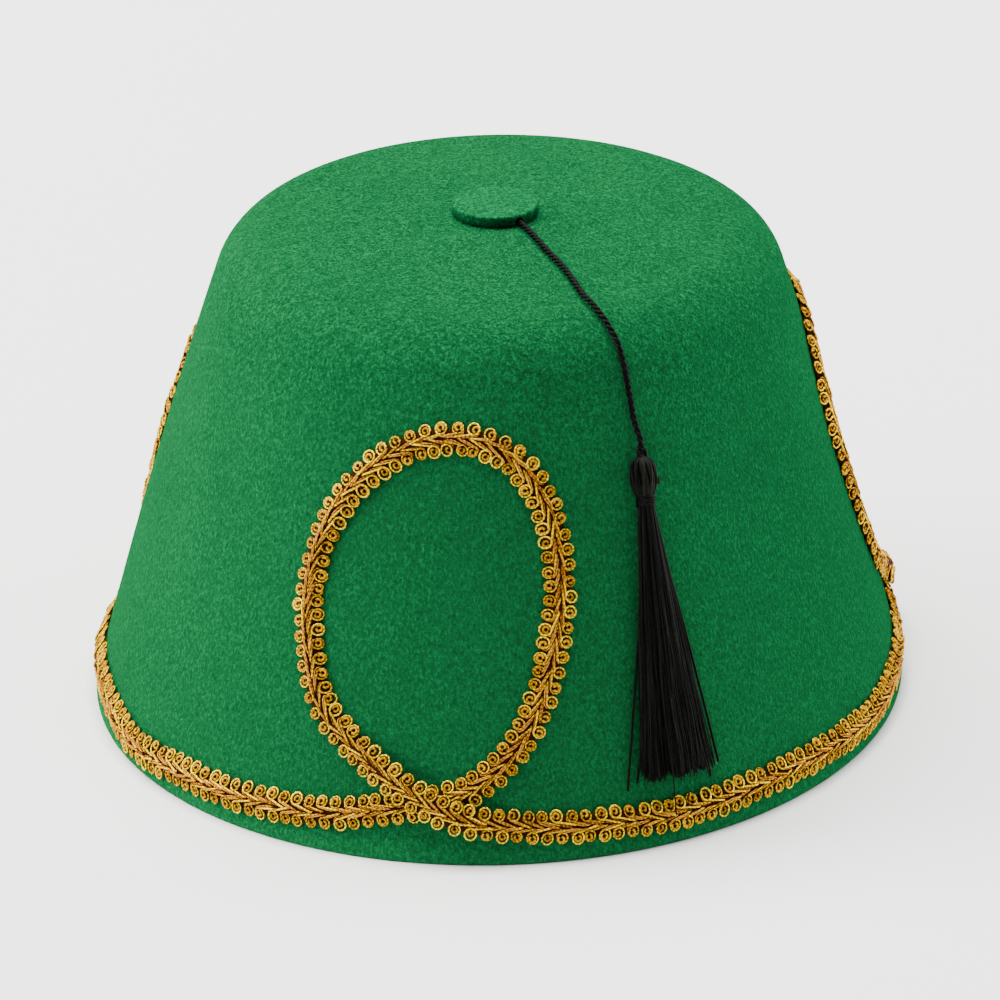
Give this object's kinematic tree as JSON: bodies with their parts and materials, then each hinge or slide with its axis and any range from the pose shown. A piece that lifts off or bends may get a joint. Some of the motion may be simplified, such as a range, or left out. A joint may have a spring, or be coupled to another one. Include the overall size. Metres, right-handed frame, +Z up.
{
  "type": "fez hat",
  "caption": "Felt fez with a tapered oval crown, a felt button, looped gimp braid above the rim and a hanging cord with a floss tassel.",
  "frame": {"origin": "middle of the rim's oval, on the plane that the rim rests on", "axes": "+Z up through the crown, +Y from the front of the hat to its back, along the head; +X to the right of a viewer who faces the front"},
  "size_m": [0.1833, 0.2101, 0.1154],
  "materials": {
    "green_felt": "moulded wool felt with a short fuzz",
    "button_felt": "cut disc of thick wool felt",
    "gold_gimp": "metallic gold yarn worked into a curled gimp braid",
    "black_cord": "twisted rayon cord with a soft shine",
    "black_floss": "rayon floss"
  },
  "bodies": {
    "root": {"felt_body": "green_felt", "top_button": "button_felt", "gold_braid": "gold_gimp", "tassel_cord": "black_cord", "tassel": "black_floss"}
  },
  "joints": []
}
